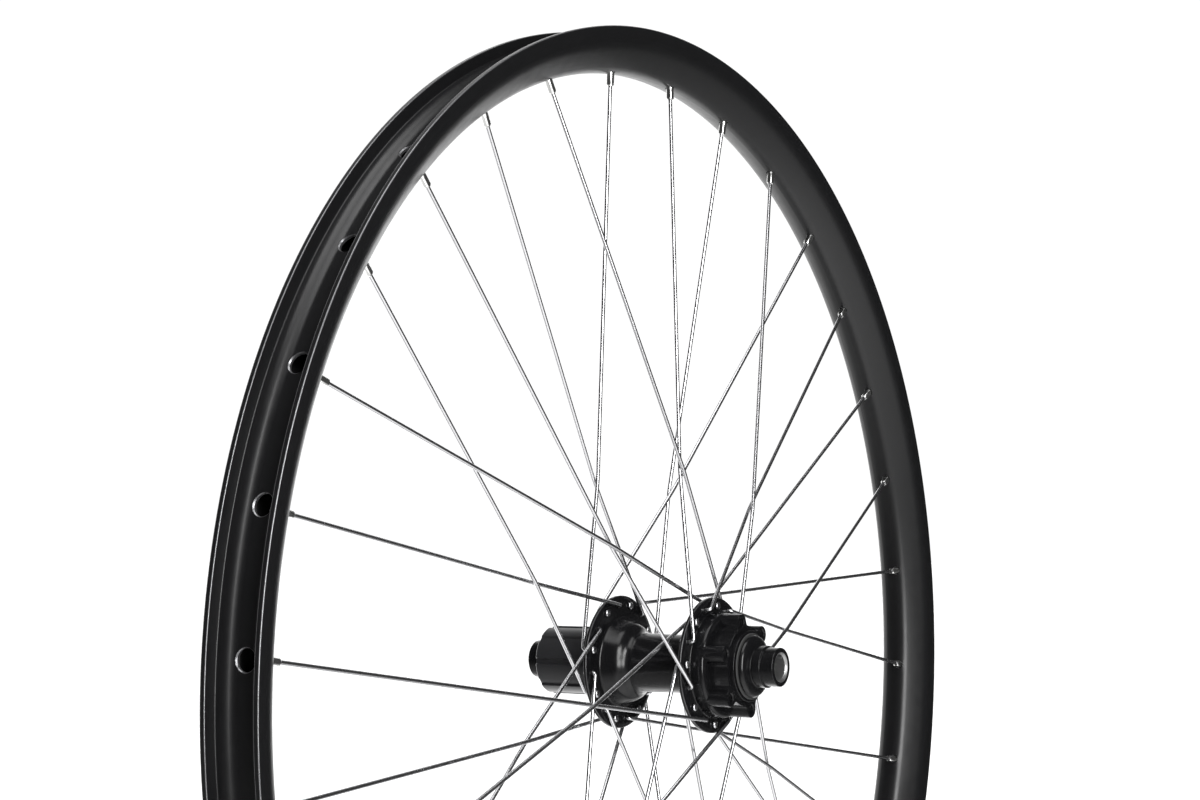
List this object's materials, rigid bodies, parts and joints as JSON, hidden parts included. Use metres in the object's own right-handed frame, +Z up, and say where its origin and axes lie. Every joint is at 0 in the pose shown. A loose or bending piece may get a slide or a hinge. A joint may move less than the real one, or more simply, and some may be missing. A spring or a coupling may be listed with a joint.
{
  "type": "spoked bicycle wheel",
  "caption": "Spoked rear bicycle wheel: black double-wall rim, crossed steel spokes, disc-brake hub with splined freewheeling carrier and hollow axle.",
  "frame": {"origin": "wheel centre, where the axle's axis meets the rim's centre plane", "axes": "+Y along the axle towards the disc-brake end, +X direction of travel, +Z up"},
  "size_m": [0.634, 0.142, 0.634],
  "materials": {
    "rim_black": "satin black anodised aluminium",
    "hub_black": "gloss black anodised aluminium",
    "freehub_grey": "satin dark grey anodised aluminium",
    "spoke_steel": "bright drawn stainless wire with plated brass nipples",
    "race_steel": "ground bearing steel",
    "ball_steel": "polished bearing balls in their cage",
    "bare_aluminium": "bare turned aluminium",
    "seal_rubber": "matt black nitrile rubber",
    "tool_steel": "hardened ratchet steel"
  },
  "bodies": {
    "axle": {"axle": "bare_aluminium", "end_cap_disc": "hub_black", "end_cap_drive": "hub_black", "axle_spacer": "bare_aluminium", "freehub_spacer": "bare_aluminium", "hub_disc_inner_race": "race_steel", "hub_drive_inner_race": "race_steel", "freehub_inner_inner_race": "race_steel", "freehub_outer_inner_race": "race_steel"},
    "wheel": {"rim": "rim_black", "spoke_01": "spoke_steel", "spoke_02": "spoke_steel", "spoke_03": "spoke_steel", "spoke_04": "spoke_steel", "spoke_05": "spoke_steel", "spoke_06": "spoke_steel", "spoke_07": "spoke_steel", "spoke_08": "spoke_steel", "spoke_09": "spoke_steel", "spoke_10": "spoke_steel", "spoke_11": "spoke_steel", "spoke_12": "spoke_steel", "spoke_13": "spoke_steel", "spoke_14": "spoke_steel", "spoke_15": "spoke_steel", "spoke_16": "spoke_steel", "spoke_17": "spoke_steel", "spoke_18": "spoke_steel", "spoke_19": "spoke_steel", "spoke_20": "spoke_steel", "spoke_21": "spoke_steel", "spoke_22": "spoke_steel", "spoke_23": "spoke_steel", "spoke_24": "spoke_steel", "spoke_25": "spoke_steel", "spoke_26": "spoke_steel", "spoke_27": "spoke_steel", "spoke_28": "spoke_steel", "spoke_29": "spoke_steel", "spoke_30": "spoke_steel", "spoke_31": "spoke_steel", "spoke_32": "spoke_steel", "hub_shell": "hub_black", "ratchet_ring": "tool_steel", "dust_cover_disc": "seal_rubber", "hub_disc_outer_race": "race_steel", "hub_drive_outer_race": "race_steel"},
    "freehub": {"freehub_body": "freehub_grey", "freehub_seal": "seal_rubber", "pawl_spring": "spoke_steel", "freehub_inner_outer_race": "race_steel", "freehub_outer_outer_race": "race_steel"},
    "pawl_1": {"pawl_1": "tool_steel"},
    "pawl_2": {"pawl_2": "tool_steel"},
    "pawl_3": {"pawl_3": "tool_steel"},
    "hub_disc_cage": {"hub_disc_balls": "ball_steel"},
    "hub_drive_cage": {"hub_drive_balls": "ball_steel"},
    "freehub_inner_cage": {"freehub_inner_balls": "ball_steel"},
    "freehub_outer_cage": {"freehub_outer_balls": "ball_steel"}
  },
  "joints": [
    {"name": "wheel_spin", "type": "hinge", "parent": "axle", "child": "wheel", "pos_m": [0, 0, 0], "axis": [0, 1, 0], "continuous": true},
    {"name": "freehub_spin", "type": "hinge", "parent": "axle", "child": "freehub", "pos_m": [0, -0.04, 0], "axis": [0, 1, 0], "continuous": true},
    {"name": "hub_disc_cage_spin", "type": "hinge", "parent": "axle", "child": "hub_disc_cage", "pos_m": [0, 0.0504, 0], "axis": [0, 1, 0], "continuous": true},
    {"name": "hub_drive_cage_spin", "type": "hinge", "parent": "axle", "child": "hub_drive_cage", "pos_m": [0, -0.0126, 0], "axis": [0, 1, 0], "continuous": true},
    {"name": "freehub_inner_cage_spin", "type": "hinge", "parent": "axle", "child": "freehub_inner_cage", "pos_m": [0, -0.031, 0], "axis": [0, 1, 0], "continuous": true},
    {"name": "freehub_outer_cage_spin", "type": "hinge", "parent": "axle", "child": "freehub_outer_cage", "pos_m": [0, -0.0511, 0], "axis": [0, 1, 0], "continuous": true},
    {"name": "pawl_1_pivot", "type": "hinge", "parent": "freehub", "child": "pawl_1", "pos_m": [-0.00312, -0.0205, 0.01252], "axis": [0, 1, 0], "range_deg": [-12, 0], "stiffness_Nm_per_rad": 0.002, "springref_deg": -32.09},
    {"name": "pawl_2_pivot", "type": "hinge", "parent": "freehub", "child": "pawl_2", "pos_m": [-0.00928, -0.0205, -0.00896], "axis": [0, 1, 0], "range_deg": [-12, 0], "stiffness_Nm_per_rad": 0.002, "springref_deg": -32.09},
    {"name": "pawl_3_pivot", "type": "hinge", "parent": "freehub", "child": "pawl_3", "pos_m": [0.0124, -0.0205, -0.00356], "axis": [0, 1, 0], "range_deg": [-12, 0], "stiffness_Nm_per_rad": 0.002, "springref_deg": -32.09}
  ],
  "couplings": [
    {"joint": "hub_disc_cage_spin", "follows": "wheel_spin", "ratio": 0.592},
    {"joint": "hub_drive_cage_spin", "follows": "wheel_spin", "ratio": 0.592},
    {"joint": "freehub_inner_cage_spin", "follows": "freehub_spin", "ratio": 0.571},
    {"joint": "freehub_outer_cage_spin", "follows": "freehub_spin", "ratio": 0.592},
    {"joint": "pawl_2_pivot", "follows": "pawl_1_pivot", "ratio": 1},
    {"joint": "pawl_3_pivot", "follows": "pawl_1_pivot", "ratio": 1}
  ]
}
